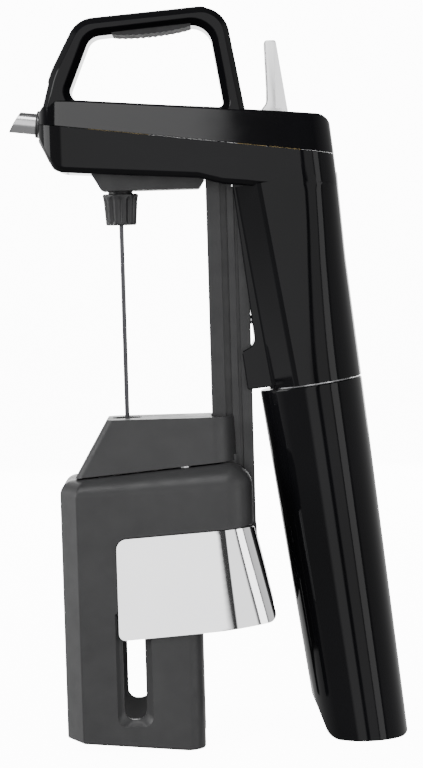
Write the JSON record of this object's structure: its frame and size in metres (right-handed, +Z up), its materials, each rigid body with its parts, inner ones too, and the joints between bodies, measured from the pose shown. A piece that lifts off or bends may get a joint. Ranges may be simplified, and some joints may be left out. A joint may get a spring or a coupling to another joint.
{
  "type": "needle wine pourer",
  "caption": "Hand-held needle wine pourer with finger loop, spout, thumb trigger, sprung neck clamp on a slide rail, and a screw-off gas capsule cup as its lower handle.",
  "frame": {"origin": "bottom centre of the bounding box: the middle of the footprint on the table", "axes": "+Z up, parallel to the needle; -X towards the spout; Y across the device"},
  "size_m": [0.1273, 0.0446, 0.243],
  "materials": {
    "gloss_black": "piano black",
    "soft_grey": "soft touch",
    "grip_rubber": "ribbed",
    "graphite": "fine matt",
    "clamp_grey": "fine matt",
    "chrome": "polished",
    "satin_silver": "satin",
    "steel": "brushed",
    "needle_steel": "dark coated",
    "aluminium": "machined",
    "brass": "machined",
    "rubber": "matt",
    "clear_tube": "translucent"
  },
  "bodies": {
    "housing": {"top_cover": "gloss_black", "main_housing": "gloss_black", "loop_spine": "soft_grey", "finger_grip": "grip_rubber", "spout_tube": "steel", "spout_ferrule": "graphite", "needle_block": "graphite", "manifold": "brass", "wine_tube": "clear_tube", "gas_tube": "clear_tube", "gas_riser": "clear_tube", "valve_body": "brass", "valve_spring": "steel", "trigger_pin": "steel", "regulator_body": "brass", "regulator_piston": "aluminium", "regulator_spring": "steel", "regulator_cap": "brass", "piercing_pin": "steel", "capsule_seal": "rubber", "cup_collar": "aluminium", "slide_rail": "graphite", "rail_end_stop": "graphite", "rail_screws": "steel", "housing_screws": "steel"},
    "trigger": {"trigger": "satin_silver"},
    "valve_stem": {"valve_stem": "steel"},
    "needle": {"needle": "needle_steel", "needle_nut": "graphite", "needle_seal": "rubber"},
    "carriage": {"guide_head": "clamp_grey", "guide_bushing": "steel", "slide_pad": "clear_tube", "jaw_pins": "steel", "jaw_springs": "steel"},
    "jaw_left": {"jaw_left": "clamp_grey", "paddle_left": "chrome", "neck_pad_left": "rubber"},
    "jaw_right": {"jaw_right": "clamp_grey", "paddle_right": "chrome", "neck_pad_right": "rubber"},
    "capsule": {"gas_capsule": "steel", "cup_cushion": "rubber"},
    "cup": {"capsule_cup": "gloss_black"}
  },
  "joints": [
    {"name": "trigger_press", "type": "hinge", "parent": "housing", "child": "trigger", "pos_m": [0.0255, 0, 0.2025], "axis": [0, -1, 0], "range_deg": [0, 10.03]},
    {"name": "valve_open", "type": "slide", "parent": "housing", "child": "valve_stem", "axis": [0, 0, -1], "range_m": [0, 0.0014], "stiffness_N_per_m": 1500, "springref_m": -0.0015, "deforming": ["valve_spring"]},
    {"name": "needle_unscrew", "type": "hinge", "parent": "housing", "child": "needle", "pos_m": [-0.0275, 0, 0.18], "axis": [0, 0, -1], "range_deg": [0, 720]},
    {"name": "clamp_slide", "type": "slide", "parent": "housing", "child": "carriage", "axis": [0, 0, 1], "range_m": [0, 0.062]},
    {"name": "jaw_left_open", "type": "hinge", "parent": "carriage", "child": "jaw_left", "pos_m": [-0.0085, -0.0115, 0.075], "axis": [0, 0, 1], "range_deg": [0, 4.5], "stiffness_Nm_per_rad": 0.6, "springref_deg": -17.19},
    {"name": "jaw_right_open", "type": "hinge", "parent": "carriage", "child": "jaw_right", "pos_m": [-0.0085, 0.0115, 0.075], "axis": [0, 0, -1], "range_deg": [0, 4.5], "stiffness_Nm_per_rad": 0.6, "springref_deg": -17.19},
    {"name": "capsule_release", "type": "slide", "parent": "housing", "child": "capsule", "axis": [0.1219, 0, -0.9925], "range_m": [0, 0.005]},
    {"name": "cup_unscrew", "type": "hinge", "parent": "capsule", "child": "cup", "pos_m": [0.034, 0, 0.1187], "axis": [-0.1219, 0, 0.9925], "range_deg": [0, 720.1]}
  ],
  "couplings": [
    {"joint": "trigger_press", "follows": "valve_open", "rad_per_m": 125},
    {"joint": "jaw_right_open", "follows": "jaw_left_open", "ratio": 1},
    {"joint": "cup_unscrew", "follows": "capsule_release", "rad_per_m": 2513.3}
  ]
}
